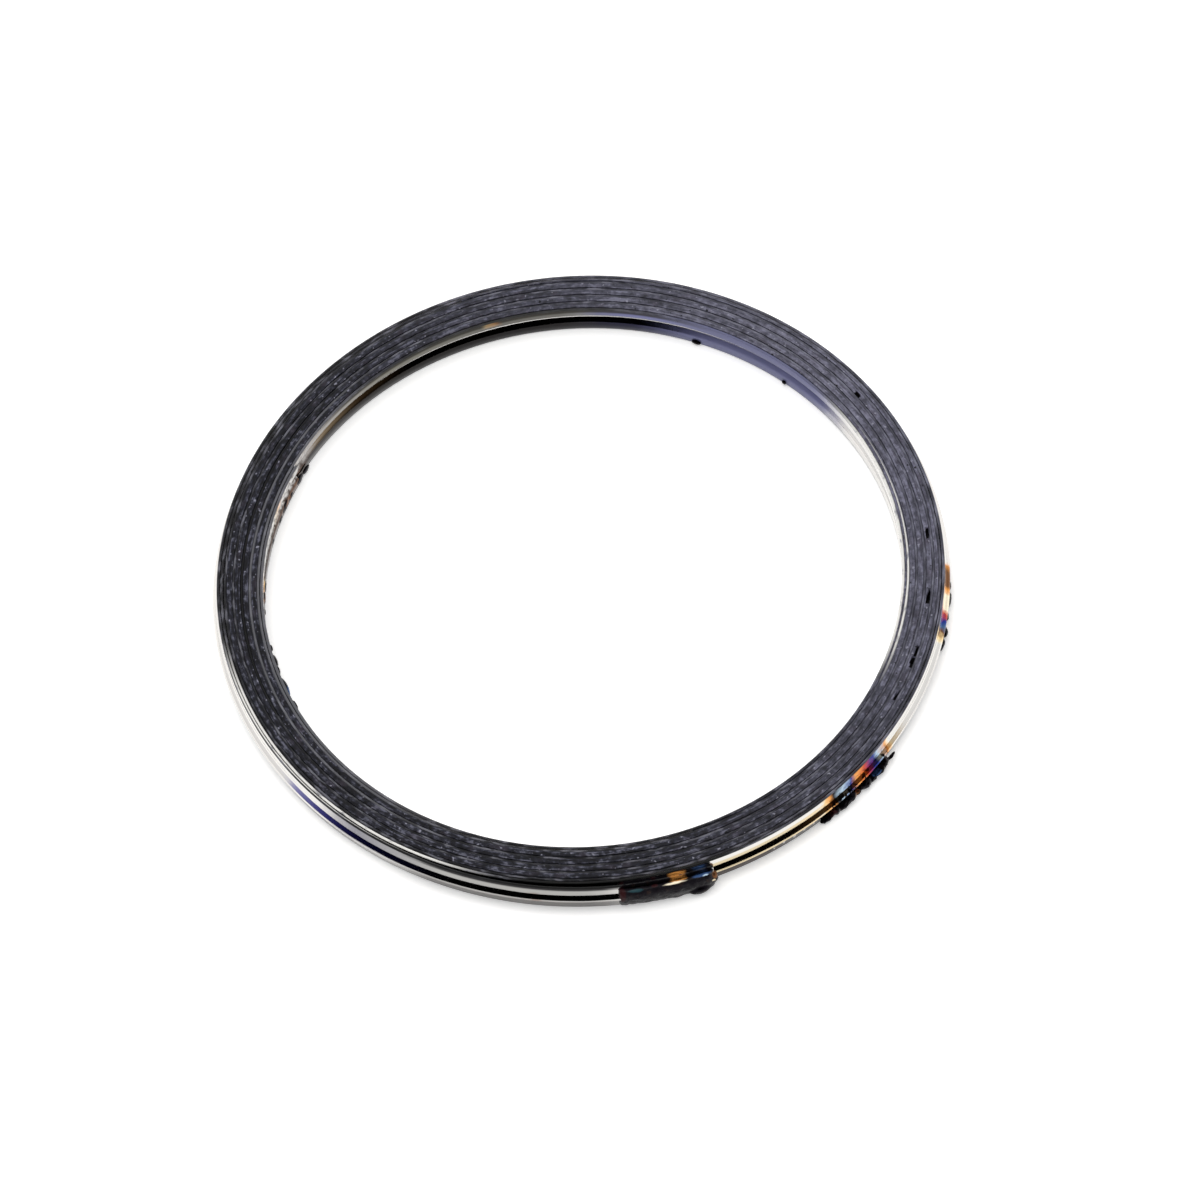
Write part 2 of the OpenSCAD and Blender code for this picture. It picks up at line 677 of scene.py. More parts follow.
@dataclass(frozen=True)
class TintAndShadeBand:
    """A row of colours along one wall, between two angles and two heights: oxide tint beside the welds,
    and painted shade on other parts of the walls.
    """

    wall: Wall
    start: float
    end: float
    low: float
    high: float
    stops: tuple[Stop, ...]
    soft: float = 0.5
    strength: float = 1.0
    wall_soft: float = 0.05
    height_soft: float = 0.12

    def lay(self, nodes: RingNodes, colour: Socket, waver: object) -> Socket:
        """Lays the tint over a colour.

        Args:
            nodes: The material's nodes.
            colour: The colour under the tint.
            waver: Wandering that is added to the angle, in degrees.

        Returns:
            The tinted colour.
        """
        inner, outer = self.wall.value
        angle = nodes.math("ADD", nodes.angle, waver)
        past = nodes.math("SUBTRACT", angle, self.start)
        share = nodes.math("DIVIDE", past, self.end - self.start, clamp=True)
        mask = nodes.times(
            nodes.window(angle, self.start, self.end, self.soft),
            nodes.window(nodes.radius, inner, outer, self.wall_soft),
            nodes.window(nodes.height, self.low, self.high, self.height_soft),
            self.strength,
        )
        return nodes.mix(mask, colour, nodes.ramp(share, self.stops))


STRAW: Colour = (0.78, 0.58, 0.30)
AMBER: Colour = (0.72, 0.30, 0.07)
RUST: Colour = (0.50, 0.06, 0.02)
MAGENTA: Colour = (0.20, 0.02, 0.12)
DEEP_BLUE: Colour = (0.01, 0.03, 0.22)
PALE_BLUE: Colour = (0.38, 0.50, 0.62)
SOOT_AND_SHADE: Colour = (0.006, 0.005, 0.007)
CREAM: Colour = (0.85, 0.76, 0.58)
BROWN: Colour = (0.16, 0.07, 0.03)
BRIGHT: Colour = (0.74, 0.72, 0.70)
OLIVE: Colour = (0.15, 0.142, 0.115)
LAVENDER: Colour = (0.112, 0.118, 0.255)
MAROON: Colour = (0.022, 0.006, 0.007)
TEAL: Colour = (0.018, 0.045, 0.055)
SLATE_BLUE: Colour = (0.03, 0.065, 0.16)
STEEL_BLUE: Colour = (0.06, 0.12, 0.24)
DARK_BROWN_AND_SHADE: Colour = (0.040, 0.020, 0.012)
BLOOM_GREY: Colour = (0.13, 0.13, 0.17)
OLD_GOLD: Colour = (0.58, 0.46, 0.24)
LIGHT_SHADE_GREY: Colour = (0.42, 0.39, 0.38)
SHADE_GREY: Colour = (0.15, 0.14, 0.135)
DARK_GREY: Colour = (0.10, 0.096, 0.085)
UPPER_WALL_GREY: Colour = (0.33, 0.325, 0.315)
DARK_OLIVE: Colour = (0.030, 0.028, 0.024)
INNER_EDGE_SHADE: Colour = (0.022, 0.021, 0.018)
DARK_LAVENDER: Colour = (0.12, 0.125, 0.225)
BARE_EDGE_HIGHLIGHT: Colour = (0.80, 0.79, 0.76)
ROLLED_DARK: Colour = (0.60, 0.585, 0.57)
ROLLED_LIGHT: Colour = (0.80, 0.78, 0.75)
EDGE_SHEEN: Colour = (0.16, 0.16, 0.18)
GROOVE_SHADE: Colour = (0.0, 0.0, 0.001)
SCALE_AND_GAP_SHADE: Colour = (0.001, 0.001, 0.001)
SINGED: Colour = (0.018, 0.011, 0.010)
BLACK: Colour = (0.0, 0.0, 0.0)
WHITE: Colour = (1.0, 1.0, 1.0)


@dataclass(frozen=True)
class OxideGlint:
    """A glassy patch of oxide colour on burnt metal, round a point of the wall; the light patches on the
    tail weld are painted highlights.
    """

    angle: float
    height: float
    along: float
    up: float
    colour: Colour
    wall: float = 25.9
    core: float = 0.2
    fade: float = 1.7

    def lay(self, nodes: RingNodes, colour: Socket, waver: object) -> Socket:
        """Lays the patch over a colour.

        Args:
            nodes: The material's nodes.
            colour: The colour under the patch.
            waver: Wandering of the patch's outline, about zero.

        Returns:
            The patched colour.
        """
        reach = math.radians(1.0) * self.wall / self.along
        across = nodes.times(nodes.math("SUBTRACT", nodes.angle, self.angle), reach)
        upright = nodes.math("DIVIDE", nodes.math("SUBTRACT", nodes.height, self.height), self.up)
        away = nodes.math("ADD", nodes.squares(across, upright), waver)
        return nodes.mix(nodes.smooth(away, self.fade, self.core), colour, self.colour)


@dataclass(frozen=True)
class StripSteel:
    """Bright rolled strip, dulled by graphite on its edges and tinted beside its welds, with painted shade
    on parts of its walls and edges and painted highlights on some bare edges.
    """

    name: str = "strip_steel"
    pale_spots: tuple[tuple[float, float, float], ...] = (
        (297.6, 0.42, 0.08),
        (299.4, 0.50, 0.11),
        (301.4, 0.46, 0.13),
        (303.3, 0.50, 0.12),
        (305.2, 0.44, 0.09),
    )
    tint_and_shade_bands: tuple[TintAndShadeBand, ...] = (
        TintAndShadeBand(
            Wall.OUTER, 307.0, 323.0, 0.6, 2.7,
            (
                (0.00, STRAW), (0.10, AMBER), (0.18, SOOT_AND_SHADE), (0.30, PALE_BLUE),
                (0.38, DEEP_BLUE), (0.46, AMBER), (0.58, RUST), (0.68, MAGENTA),
                (0.74, DEEP_BLUE), (0.82, PALE_BLUE), (0.92, AMBER), (1.00, CREAM),
            ),
        ),
        TintAndShadeBand(
            Wall.OUTER, 343.0, 357.5, 0.2, 2.7,
            (
                (0.00, CREAM), (0.10, STRAW), (0.15, BROWN), (0.20, STEEL_BLUE),
                (0.30, DEEP_BLUE), (0.37, RUST), (0.43, CREAM), (0.60, CREAM),
                (0.68, AMBER), (0.75, BROWN), (0.90, BROWN), (1.00, AMBER),
            ),
        ),
        # Lavender tint of the bore wall, made dark as painted shade.
        TintAndShadeBand(Wall.BORE, 34.0, 88.0, 0.0, 2.5, even(LAVENDER), soft=6.0, strength=0.95),
        # Painted shade: the bore wall darkened at the back, with an olive hue, lighter towards 150°.
        TintAndShadeBand(
            Wall.BORE, 84.0, 150.0, 0.0, 2.5,
            ((0.0, DARK_GREY), (0.3, DARK_GREY), (0.6, OLIVE), (1.0, LIGHT_SHADE_GREY)),
            soft=7.0, strength=0.97,
        ),
        # Painted shade: the lower part of the bore wall painted near black from 70° to 205°.
        TintAndShadeBand(Wall.BORE, 70.0, 205.0, -0.2, 0.92, even(SOOT_AND_SHADE), soft=8.0, strength=0.88),
        # Painted shade: the top of the bore wall darkened at the back.
        TintAndShadeBand(Wall.BORE, 66.0, 140.0, 2.08, 2.8, even(DARK_OLIVE), soft=8.0, strength=0.9),
        TintAndShadeBand(
            Wall.BORE, 148.0, 204.0, -0.2, 0.9,
            ((0.0, BROWN), (0.5, SOOT_AND_SHADE), (1.0, SOOT_AND_SHADE)),
            soft=3.0, strength=0.8,
        ),
        TintAndShadeBand(
            Wall.BORE, 101.8, 103.4, 1.9, 2.6, ((0.0, AMBER), (1.0, STRAW)), soft=1.2, strength=0.3
        ),
        TintAndShadeBand(
            Wall.BORE, 158.0, 161.5, 1.0, 2.6, ((0.0, AMBER), (1.0, STRAW)), soft=1.4, strength=0.7
        ),
        TintAndShadeBand(
            Wall.BORE, 173.0, 177.0, 0.5, 2.2, ((0.0, STRAW), (1.0, AMBER)), soft=1.4, strength=0.7
        ),
        TintAndShadeBand(
            Wall.OUTER, 286.0, 307.0, 0.9, 1.9,
            ((0.0, OLD_GOLD), (0.6, OLD_GOLD), (1.0, STRAW)),
            soft=1.0, strength=0.75,
        ),
        # Painted shade: the lower part of the outer wall from 286° to 307°, dark brown, then grey.
        TintAndShadeBand(
            Wall.OUTER, 286.0, 307.0, -0.2, 0.92,
            ((0.0, DARK_BROWN_AND_SHADE), (0.5, DARK_BROWN_AND_SHADE), (0.72, SHADE_GREY), (1.0, SHADE_GREY)),
            soft=1.0,
        ),
        # The upper part of the outer wall made greyer from 224° to 272°.
        TintAndShadeBand(
            Wall.OUTER, 224.0, 247.0, 1.3, 2.6,
            ((0.0, BLOOM_GREY), (1.0, UPPER_WALL_GREY)),
            soft=5.0, strength=0.9,
        ),
        TintAndShadeBand(Wall.OUTER, 243.0, 272.0, 1.3, 2.6, even(UPPER_WALL_GREY), soft=6.0, strength=0.95),
        # Painted shade: the lower part of the outer wall from 238° to 272°.
        TintAndShadeBand(Wall.OUTER, 238.0, 272.0, -0.2, 1.3, even(SHADE_GREY), soft=5.0, strength=0.9),
        # Painted shade: the top of the outer wall painted near black from 240° to 273°.
        TintAndShadeBand(Wall.OUTER, 240.0, 273.0, 2.14, 2.8, even(SOOT_AND_SHADE), soft=5.0, strength=0.95),
        TintAndShadeBand(Wall.OUTER, 258.0, 260.4, 1.2, 1.7, even(BROWN), soft=0.8, strength=0.45),
        TintAndShadeBand(Wall.OUTER, 337.0, 343.0, 0.5, 1.0, even(BROWN), soft=0.6, strength=0.8),
    )
    # Painted shade: tones of the smeared edges on the left and front.
    shaded_edge: tuple[Stop, ...] = (
        (0.38, (0.003, 0.003, 0.005)),
        (0.50, (0.018, 0.018, 0.024)),
        (0.64, (0.14, 0.14, 0.17)),
    )
    # Painted sheen: tones of the smeared edges on the right and back.
    sheen_edge: tuple[Stop, ...] = (
        (0.36, (0.038, 0.038, 0.055)),
        (0.50, (0.090, 0.090, 0.125)),
        (0.64, (0.18, 0.18, 0.24)),
    )
    tint_waver: float = 4.0
    upper_edge: tuple[float, float] = (2.33, 2.38)
    lower_edge: tuple[float, float] = (0.17, 0.12)
    dull_metal: float = 0.12
    dull_roughness: float = 0.5
    bright_roughness: tuple[float, float] = (0.07, 0.17)

    def make(self) -> bpy.types.Material:
        """Builds the finish.

        Returns:
            The material.
        """
        nodes = RingNodes(self.name)
        rolling = nodes.along(stretch=0.12, radial=0.0, upright=14.0)
        streaks = nodes.noise(rolling, scale=1.0, detail=4.0, rough=0.6)
        blotches = nodes.noise(nodes.place, scale=0.9, detail=3.0, rough=0.5)
        colour = nodes.mix(streaks, ROLLED_DARK, ROLLED_LIGHT)
        waver = nodes.times(nodes.math("SUBTRACT", blotches, 0.5), self.tint_waver)
        for tint in self.tint_and_shade_bands:
            colour = tint.lay(nodes, colour, waver)
        colour = self.flecked(nodes, colour)
        edge = self.edge_mask(nodes)
        slitting = nodes.along(stretch=0.8, radial=3.0, upright=0.0)
        smear = nodes.noise(slitting, scale=1.0, detail=4.0, rough=0.6)
        # Painted highlight: clean bare edges painted white in the sectors where they catch the light.
        on_edge = nodes.mix(self.bare_highlight_mask(nodes, smear), self.smear_colour(nodes, smear), BARE_EDGE_HIGHLIGHT)
        nodes.feed("Base Color", nodes.mix(edge, colour, on_edge))
        bloom = nodes.times(nodes.sector(36.0, 68.0, 8.0), nodes.inside(22.98, 0.03), 0.9)
        dull = nodes.math("MAXIMUM", edge, bloom)
        nodes.feed("Metallic", nodes.blend(dull, 1.0, self.dull_metal))
        bright = nodes.blend(streaks, *self.bright_roughness)
        nodes.feed("Roughness", nodes.blend(dull, bright, self.dull_roughness))
        nodes.feed("Normal", nodes.bump(streaks, distance=0.00002, strength=0.3))
        return nodes.material

    def flecked(self, nodes: RingNodes, colour: Socket) -> Socket:
        """Lays flecks of soot and scale over the walls beside the welds.

        Args:
            nodes: The material's nodes.
            colour: Colour of the wall.

        Returns:
            The flecked colour.
        """
        flakes = nodes.noise(nodes.place, scale=2.4, detail=2.0, rough=0.6)
        outer = nodes.times(
            nodes.sector(307.5, 322.0, 1.0),
            nodes.window(nodes.height, 0.2, 1.7, 0.3),
            nodes.outside(25.4, 0.1),
            nodes.smooth(flakes, 0.50, 0.58),
        )
        colour = nodes.mix(outer, colour, SOOT_AND_SHADE)
        for angle, height, size in self.pale_spots:
            colour = OxideGlint(angle, height, size, size, BRIGHT).lay(nodes, colour, 0.0)
        bore = nodes.times(
            nodes.sector(146.0, 203.0, 3.0), nodes.inside(22.98, 0.06), nodes.smooth(flakes, 0.40, 0.70), 0.9
        )
        return nodes.mix(bore, colour, DARK_BROWN_AND_SHADE)

    def edge_mask(self, nodes: RingNodes) -> Socket:
        """Returns 1 on the strip's slit edges and 0 on its walls."""
        over = nodes.smooth(nodes.height, *self.upper_edge)
        return nodes.math("MAXIMUM", over, nodes.smooth(nodes.height, *self.lower_edge))

    def bare_highlight_mask(self, nodes: RingNodes, smear: Socket) -> Socket:
        """Returns 1 where the edges of bare plies are clean steel, painted white as a highlight on the outer
        plies at the left and the inner plies at the right.

        Args:
            nodes: The material's nodes.
            smear: Noise that says how much graphite a place holds.

        Returns:
            The mask.
        """
        left = nodes.times(nodes.window(nodes.radius, 25.38, 25.70, 0.04), nodes.sector(192.0, 247.0, 7.0))
        from_left = nodes.math("ABSOLUTE", nodes.math("SUBTRACT", nodes.angle, 184.0))
        right = nodes.times(nodes.inside(23.15, 0.10), nodes.smooth(from_left, 146.0, 160.0))
        return nodes.times(nodes.math("MAXIMUM", left, right), nodes.smooth(smear, 0.75, 0.52))

    def smear_colour(self, nodes: RingNodes, smear: Socket) -> Socket:
        """Gives the colour of slit edges that graphite has smeared, with painted sheen, painted shade and
        marks laid over it.

        Args:
            nodes: The material's nodes.
            smear: Noise that says how much graphite a place holds.

        Returns:
            The colour.
        """
        # Painted sheen and shade: lighter smeared edges to the right and back, duller ones to the left and
        # front.
        colour = nodes.mix(
            nodes.painted_sheen(), nodes.ramp(smear, self.shaded_edge), nodes.ramp(smear, self.sheen_edge)
        )
        # Painted shade: a black ring round the face at 24 mm radius, from 138° to 205°.
        groove_shade = nodes.window(nodes.radius, 23.84, 24.16, 0.03)
        stains_and_shade = (
            (nodes.times(nodes.inside(23.7, 0.3), nodes.sector(130.0, 235.0, 12.0), 0.6), EDGE_SHEEN),
            (nodes.times(groove_shade, nodes.sector(138.0, 205.0, 8.0)), GROOVE_SHADE),
            (nodes.times(nodes.inside(23.18, 0.08), nodes.sector(38.0, 68.0, 7.0)), DARK_LAVENDER),
            # Painted shade: the inner plies' edges darkened at the back.
            (nodes.times(nodes.inside(23.02, 0.07), nodes.sector(78.0, 118.0, 8.0), 0.85), INNER_EDGE_SHADE),
            # Black scale beside the tail weld, and painted shade in the gap under the lifted outer ply from
            # 228°.
            (nodes.times(nodes.outside(25.3, 0.1), nodes.sector(255.0, 290.0, 2.0)), SCALE_AND_GAP_SHADE),
            (nodes.times(nodes.outside(25.68, 0.08), nodes.sector(228.0, 290.0, 6.0), 0.9), SCALE_AND_GAP_SHADE),
        )
        for mask, overlay_colour in stains_and_shade:
            colour = nodes.mix(mask, colour, overlay_colour)
        return colour


@dataclass(frozen=True)
class BurntSteel:
    """Weld metal: black scale with glassy patches of oxide colour, the light ones on the tail weld painted
    as highlights.
    """

    name: str = "burnt_steel"
    glints: tuple[OxideGlint, ...] = (
        OxideGlint(272.3, 1.75, 0.24, 0.70, MAROON),
        OxideGlint(274.4, 2.06, 0.50, 0.16, TEAL),
        OxideGlint(277.3, 2.25, 0.22, 0.16, MAROON),
        # Painted highlights in oxide colours: the amber, cream and light blue patches on the tail weld.
        OxideGlint(281.0, 2.36, 0.60, 0.12, AMBER),
        OxideGlint(280.4, 2.14, 0.75, 0.12, CREAM),
        OxideGlint(284.6, 2.25, 0.60, 0.18, SLATE_BLUE),
        OxideGlint(285.2, 2.12, 0.20, 0.09, PALE_BLUE),
        OxideGlint(286.9, 1.70, 0.26, 0.32, BROWN),
        OxideGlint(308.4, 0.70, 0.30, 0.30, MAROON),
        OxideGlint(313.6, 0.62, 0.30, 0.20, BROWN),
        OxideGlint(318.2, 0.75, 0.35, 0.16, SLATE_BLUE),
        OxideGlint(155.0, 0.62, 0.45, 0.16, BROWN, 22.5),
        OxideGlint(176.0, 0.62, 0.45, 0.16, BROWN, 22.5),
        OxideGlint(199.8, 2.00, 0.60, 0.18, SLATE_BLUE, 22.5),
    )
    scale_stops: tuple[Stop, ...] = ((0.0, SOOT_AND_SHADE), (0.58, SOOT_AND_SHADE), (0.70, SINGED), (1.0, SOOT_AND_SHADE))
    glint_waver: float = 1.2
    roughness: tuple[float, float] = (0.18, 0.42)

    def make(self) -> bpy.types.Material:
        """Builds the finish.

        Returns:
            The material.
        """
        nodes = RingNodes(self.name)
        patches = nodes.noise(nodes.place, scale=1.6, detail=3.0, rough=0.55)
        scale = nodes.noise(nodes.place, scale=9.0, detail=4.0, rough=0.65)
        waver = nodes.times(nodes.math("SUBTRACT", patches, 0.5), self.glint_waver)
        colour = nodes.ramp(patches, self.scale_stops)
        for glint in self.glints:
            colour = glint.lay(nodes, colour, waver)
        nodes.feed("Base Color", colour)
        nodes.feed("Metallic", 1.0)
        nodes.feed("Roughness", nodes.blend(scale, *self.roughness))
        nodes.feed("Normal", nodes.bump(scale, distance=0.00003, strength=0.5))
        return nodes.material


@dataclass(frozen=True)
class FlexibleGraphite:
    """Charcoal graphite tape, pressed and scuffed, with light specks; its face has painted sheen on the
    right and back and painted shade on the left and front, and its pits and its walls in the gaps beside the
    strip are painted dark as shade.
    """

    name: str = "flexible_graphite"
    # Painted shade: the face's tones on its left and front.
    dull: tuple[Stop, ...] = (
        (0.42, (0.0002, 0.0004, 0.0028)),
        (0.48, (0.003, 0.0034, 0.0105)),
        (0.53, (0.015, 0.016, 0.030)),
        (0.59, (0.096, 0.098, 0.138)),
    )
    # Painted sheen: the face's tones on its right and back.
    pale: tuple[Stop, ...] = (
        (0.41, (0.044, 0.044, 0.066)),
        (0.50, (0.098, 0.097, 0.142)),
        (0.59, (0.180, 0.178, 0.250)),
    )
    warm: Colour = (0.042, 0.030, 0.048)
    speck: Colour = (0.30, 0.30, 0.38)
    pit_shade: Colour = (0.001, 0.001, 0.002)
    gloss: float = 0.35
    roughness: tuple[float, float] = (0.36, 0.58)

    def make(self) -> bpy.types.Material:
        """Builds the finish.

        Returns:
            The material.
        """
        nodes = RingNodes(self.name)
        winding = nodes.along(stretch=0.35, radial=7.0, upright=0.0)
        streaks = nodes.noise(winding, scale=1.0, detail=5.0, rough=0.6)
        pressing = nodes.along(stretch=2.3, radial=3.4, upright=0.0)
        mottle = nodes.noise(pressing, scale=1.0, detail=3.0, rough=0.6)
        grain = nodes.noise(nodes.place, scale=6.0, detail=3.0, rough=0.6)
        broad = nodes.noise(nodes.place, scale=0.45, detail=2.0, rough=0.5)
        fine = nodes.math("ADD", nodes.times(streaks, 0.40), nodes.times(mottle, 0.45))
        shade = nodes.math("ADD", fine, nodes.times(broad, 0.15))
        # Painted sheen and shade: lighter tones to the right and back, duller ones to the left and front.
        colour = nodes.mix(nodes.painted_sheen(), nodes.ramp(shade, self.dull), nodes.ramp(shade, self.pale))
        hue = nodes.noise(nodes.place, scale=0.8, detail=2.0, rough=0.5)
        colour = nodes.mix(nodes.times(nodes.smooth(hue, 0.55, 0.72), 0.4), colour, self.warm)
        flakes = nodes.noise(nodes.place, scale=3.2, detail=1.0, rough=0.5)
        colour = nodes.mix(nodes.times(nodes.smooth(flakes, 0.66, 0.76), 0.7), colour, self.speck)
        # Painted shade: tiny pits in the graphite, painted almost black.
        colour = nodes.mix(nodes.smooth(flakes, 0.31, 0.24), colour, self.pit_shade)
        # Painted shade: black from 1.9 to 2.4 mm high, on the tape's walls in the gaps beside the strip and
        # on the floors of its pits.
        colour = nodes.mix(nodes.window(nodes.height, 1.9, 2.40, 0.03), colour, BLACK)
        nodes.feed("Base Color", colour)
        nodes.feed("Specular IOR Level", self.gloss)
        nodes.feed("Roughness", nodes.blend(grain, *self.roughness))
        relief = nodes.math("ADD", shade, nodes.times(grain, 0.5))
        nodes.feed("Normal", nodes.bump(relief, distance=0.00008, strength=0.8))
        return nodes.material


@dataclass(frozen=True)
class Lump:
    """One lump of melted metal, as an ellipsoid on the ring."""

    angle: float
    radius: float
    height: float
    along: float
    out: float
    up: float

    def build(self) -> bpy.types.Object:
        """Adds the lump.

        Returns:
            Its mesh object, with its place in its mesh.
        """
        turn = math.radians(self.angle)
        across = Vector((math.cos(turn), math.sin(turn), 0.0)) * self.radius
        Bench.clear()
        bpy.ops.mesh.primitive_ico_sphere_add(
            subdivisions=3,
            radius=1.0,
            location=(across + Vector((0.0, 0.0, self.height))) * MM,
            rotation=(0.0, 0.0, turn),
            scale=(self.out * MM, self.along * MM, self.up * MM),
        )
        bpy.ops.object.transform_apply(location=True, rotation=True, scale=True)
        return bpy.context.object


@dataclass
class WeldBead:
    """Lumps of melted metal that have run into one another."""

    name: str
    lumps: tuple[Lump, ...]
    voxel: float = 0.06
    swell: float = 0.16
    pitting: float = 0.06
    swell_grain: float = 0.55
    pit_grain: float = 0.2
    crease: float = 60.0

    def build(self) -> bpy.types.Object:
        """Runs the lumps together and roughens them.

        Returns:
            The bead's mesh object.
        """
        obj = Bench.join([lump.build() for lump in self.lumps], self.name)
        bpy.ops.object.modifier_add(type="REMESH")
        remesh = obj.modifiers[-1]
        remesh.mode = "VOXEL"
        remesh.voxel_size = self.voxel * MM
        bpy.ops.object.modifier_apply(modifier=remesh.name)
        Bench.group_points(obj, Group.BURNT, [vertex.index for vertex in obj.data.vertices])
        Bench.displace(obj, Group.BURNT, "NORMAL", self.swell_grain, self.swell)
        Bench.displace(obj, Group.BURNT, "NORMAL", self.pit_grain, self.pitting)
        Bench.smooth(obj, self.crease)
        return obj


@dataclass
class HoopStrip:
    """The V-ridged strip, wound from the bore to its lifted outer end, with its spot welds."""

    winding: Winding
    ridge: Ridge
    name: str = "wound_hoop_strip"
    inner_step: float = 2.4
    outer_step: float = 1.0
    outer_arcs: int = 3
    crease: float = 40.0
    seed: int = 11
    weld_start: float = 272.8
    weld_pitch: float = 1.16
    weld_lumps: int = 12
    weld_wall: float = 25.97
    weld_climb: float = 0.008

    def wind(self) -> bpy.types.Object:
        """Winds the strip's section round all its arcs.

        Returns:
            The strip's mesh object.
        """
        arcs = self.winding.strip_arcs()
        outline = self.ridge.outline(self.winding.strip_thickness)
        turns = []
        for number, arc in enumerate(arcs):
            outside = number >= len(arcs) - self.outer_arcs
            step = self.outer_step if outside else self.inner_step
            turns.append(arc.sweep(f"turn_{number}", outline, step))
        obj = Bench.join(turns, self.name)
        Bench.close(obj)
        Bench.smooth(obj, self.crease)
        return obj

    def tail_lumps(self) -> tuple[Lump, ...]:
        """Places the weld that burns the lifted outer end to the ply under it.

        Returns:
            Its lumps.
        """
        pick = random.Random(self.seed)
        lumps = [Lump(272.2, 25.96, 1.20, 0.26, 0.48, 1.16)]
        for number in range(self.weld_lumps):
            angle = self.weld_start + self.weld_pitch * number
            wall = self.weld_wall + self.weld_climb * number
            inside = 0 < number < self.weld_lumps - 1
            along = 0.9 if inside else 0.5
            lumps.append(Lump(angle, wall, 1.18, along, pick.uniform(0.48, 0.52), 1.15))
            lumps.append(Lump(angle, wall - 0.24, 2.06, along, 0.40, pick.uniform(0.32, 0.38)))
            lumps.append(Lump(angle, wall + 0.06, 2.10, along, 0.26, 0.38))
            lumps.append(
                Lump(
                    angle + (pick.uniform(-0.4, 0.4) if inside else 0.0),
                    wall + 0.22,
                    pick.uniform(0.7, 1.4),
                    along * pick.uniform(1.0, 1.3),
                    pick.uniform(0.21, 0.25),
                    pick.uniform(0.5, 0.7),
                )
            )
        lumps.append(Lump(284.2, 26.30, 0.60, 0.85, 0.42, 0.50))
        lumps.append(Lump(286.6, 26.10, 1.20, 0.34, 0.36, 0.62))
        return tuple(lumps)

    def row_lumps(self) -> tuple[Lump, ...]:
        """Places the first row of spots, run together along the lower shoulder of the outer wall.

        Returns:
            Its lumps.
        """
        return (
            Lump(307.4, 25.78, 0.30, 0.60, 0.26, 0.24),
            Lump(308.4, 25.78, 0.40, 0.45, 0.24, 0.26),
            Lump(309.2, 25.85, 0.55, 0.30, 0.34, 0.42),
            Lump(311.0, 25.82, 0.45, 0.75, 0.36, 0.36),
            Lump(312.6, 25.86, 0.60, 0.45, 0.36, 0.40),
            Lump(314.2, 25.80, 0.35, 0.35, 0.28, 0.28),
            Lump(315.9, 25.84, 0.50, 0.60, 0.36, 0.42),
            Lump(317.4, 25.84, 0.42, 0.50, 0.34, 0.32),
            Lump(319.2, 25.88, 0.55, 0.75, 0.40, 0.36),
            Lump(320.6, 25.86, 0.62, 0.40, 0.36, 0.42),
            Lump(322.2, 26.05, 0.60, 0.45, 0.14, 0.14),
        )

    def thin_row_lumps(self) -> tuple[Lump, ...]:
        """Places the second row of spots, flatter than the first.

        Returns:
            Its lumps.
        """
        return (
            Lump(344.2, 25.80, 0.50, 0.55, 0.24, 0.24),
            Lump(346.4, 25.84, 0.55, 0.45, 0.26, 0.34),
            Lump(349.6, 25.78, 0.40, 0.40, 0.22, 0.24),
            Lump(352.6, 25.82, 0.55, 0.65, 0.26, 0.40),
            Lump(355.2, 25.80, 0.60, 0.50, 0.24, 0.34),
        )

    def bore_lumps(self) -> tuple[Lump, ...]:
        """Places the small spots on the bore wall beside the strip's inner end, and two by themselves.

        Returns:
            Their lumps.
        """
        return (
            Lump(147.2, 22.53, 0.42, 0.45, 0.12, 0.30),
            Lump(149.8, 22.53, 0.45, 0.60, 0.14, 0.36),
            Lump(153.6, 22.53, 0.42, 0.50, 0.14, 0.34),
            Lump(156.0, 22.53, 0.50, 0.70, 0.15, 0.42),
            Lump(158.8, 22.53, 0.40, 0.40, 0.12, 0.30),
            Lump(163.8, 22.53, 0.45, 0.35, 0.10, 0.30),
            Lump(173.6, 22.53, 0.45, 0.50, 0.13, 0.36),
            Lump(176.2, 22.53, 0.50, 0.60, 0.14, 0.40),
            Lump(179.0, 22.53, 0.40, 0.30, 0.10, 0.26),
            Lump(192.4, 22.53, 0.45, 0.50, 0.14, 0.36),
            Lump(195.2, 22.53, 0.50, 0.70, 0.16, 0.42),
            Lump(198.2, 22.53, 0.45, 0.50, 0.13, 0.36),
            Lump(201.2, 22.53, 0.42, 0.50, 0.12, 0.32),
            Lump(189.4, 22.48, 1.90, 0.26, 0.13, 0.26),
            Lump(192.4, 22.48, 1.85, 0.60, 0.22, 0.36),
            Lump(194.4, 22.48, 1.95, 0.45, 0.15, 0.26),
            Lump(198.2, 22.48, 1.85, 0.85, 0.24, 0.36),
            Lump(202.6, 22.48, 1.90, 0.45, 0.17, 0.30),
            Lump(46.5, 22.56, 0.35, 0.20, 0.12, 0.20),
            Lump(65.0, 22.60, 0.30, 0.36, 0.14, 0.22),
        )

    def build(self) -> tuple[bpy.types.Object, list[bpy.types.Object]]:
        """Winds the strip and makes its welds.

        Returns:
            The strip and the list of its weld beads.
        """
        beads = [
            WeldBead("tail_weld", self.tail_lumps(), voxel=0.08, swell=0.07, pitting=0.015),
            WeldBead("first_row", self.row_lumps()),
            WeldBead("second_row", self.thin_row_lumps(), swell=0.1),
            WeldBead("bore_spots", self.bore_lumps(), voxel=0.05, swell=0.06, pitting=0.03),
        ]
        made = [bead.build() for bead in beads]
        return self.wind(), made

